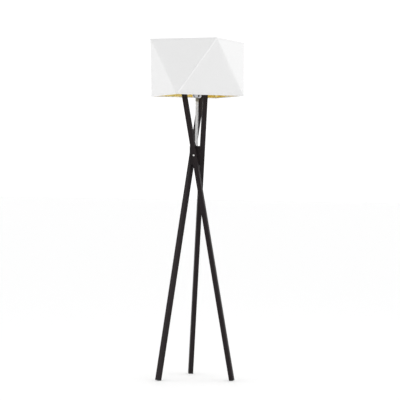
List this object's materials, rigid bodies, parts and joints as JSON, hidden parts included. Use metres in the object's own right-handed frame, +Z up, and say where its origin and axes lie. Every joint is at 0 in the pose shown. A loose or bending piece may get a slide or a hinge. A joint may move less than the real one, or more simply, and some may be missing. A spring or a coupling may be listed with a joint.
{
  "type": "tripod floor lamp",
  "caption": "Floor lamp with slim crossed wooden legs bolted to a small hub, a thin tube, a lamp holder and a faceted drum shade with a gold lining.",
  "frame": {"origin": "on the floor, under the middle of the tube and shade", "axes": "+Z up along the tube; leg 1 is bolted to the hub face that looks along -Y, and its foot is on the +X side"},
  "size_m": [0.4468, 0.4468, 1.5],
  "materials": {
    "leg_wood": "black stain, satin",
    "hub_black": "black stain, satin",
    "pad_rubber": "matt",
    "brass": "plain",
    "fibre": "matt fibre",
    "bolt_steel": "zinc plated",
    "black_steel": "blackened",
    "black_plastic": "matt",
    "rod_steel": "brushed",
    "nipple_steel": "zinc plated",
    "collar_steel": "brushed",
    "holder_chrome": "polished",
    "holder_ceramic": "unglazed",
    "shade_nut": "moulded",
    "shade_fabric": "fine plain weave laminated on a stiff backing",
    "gold_lining": "gold metallised foil on paper",
    "shade_wire": "white powder coat",
    "solder": "solder",
    "bulb_insulator": "black vitrite",
    "bulb_cap": "nickel plated",
    "bulb_housing": "moulded",
    "bulb_board": "white coated",
    "bulb_dome": "opal"
  },
  "bodies": {
    "stand": {"hub": "hub_black", "hub_inserts": "brass", "friction_washers": "fibre", "hub_bolts": "bolt_steel", "rod_set_screw": "black_steel", "lead_bush": "black_plastic", "rod": "rod_steel", "nipple": "nipple_steel", "collar": "collar_steel", "holder_cap": "holder_chrome", "nipple_nut": "nipple_steel", "holder_shell": "holder_chrome", "holder_block": "holder_ceramic", "terminal_screws": "brass", "screw_sleeve": "brass", "centre_contact": "brass", "shade_nut_lower": "shade_nut", "shade_nut_upper": "shade_nut"},
    "shade": {"shade_cover": "shade_fabric", "shade_lining": "gold_lining", "shade_fitter_frame": "shade_wire", "shade_top_wire": "shade_wire"},
    "bulb": {"bulb_contact": "solder", "bulb_insulator": "bulb_insulator", "bulb_cap": "bulb_cap", "bulb_housing": "bulb_housing", "bulb_board": "bulb_board", "bulb_dome": "bulb_dome"},
    "leg_1": {"leg_1": "leg_wood", "foot_pad_1": "pad_rubber", "foot_nail_1": "bolt_steel"},
    "leg_2": {"leg_2": "leg_wood", "foot_pad_2": "pad_rubber", "foot_nail_2": "bolt_steel"},
    "leg_3": {"leg_3": "leg_wood", "foot_pad_3": "pad_rubber", "foot_nail_3": "bolt_steel"}
  },
  "joints": [
    {"name": "leg_1_fold", "type": "hinge", "parent": "stand", "child": "leg_1", "pos_m": [0, -0.0262, 0.991], "axis": [0, 1, 0], "range_deg": [0, 5.7]},
    {"name": "leg_2_fold", "type": "hinge", "parent": "stand", "child": "leg_2", "pos_m": [0.02269, 0.0131, 0.991], "axis": [-0.866, -0.5, 0], "range_deg": [0, 5.7]},
    {"name": "leg_3_fold", "type": "hinge", "parent": "stand", "child": "leg_3", "pos_m": [-0.02269, 0.0131, 0.991], "axis": [0.866, -0.5, 0], "range_deg": [0, 5.7]},
    {"name": "shade_turn", "type": "hinge", "parent": "stand", "child": "shade", "pos_m": [0, 0, 1.2848], "axis": [0, 0, 1], "continuous": true},
    {"name": "bulb_screw", "type": "hinge", "parent": "stand", "child": "bulb", "pos_m": [0, 0, 1.29], "axis": [0, 0, 1], "range_deg": [0, 900]}
  ]
}
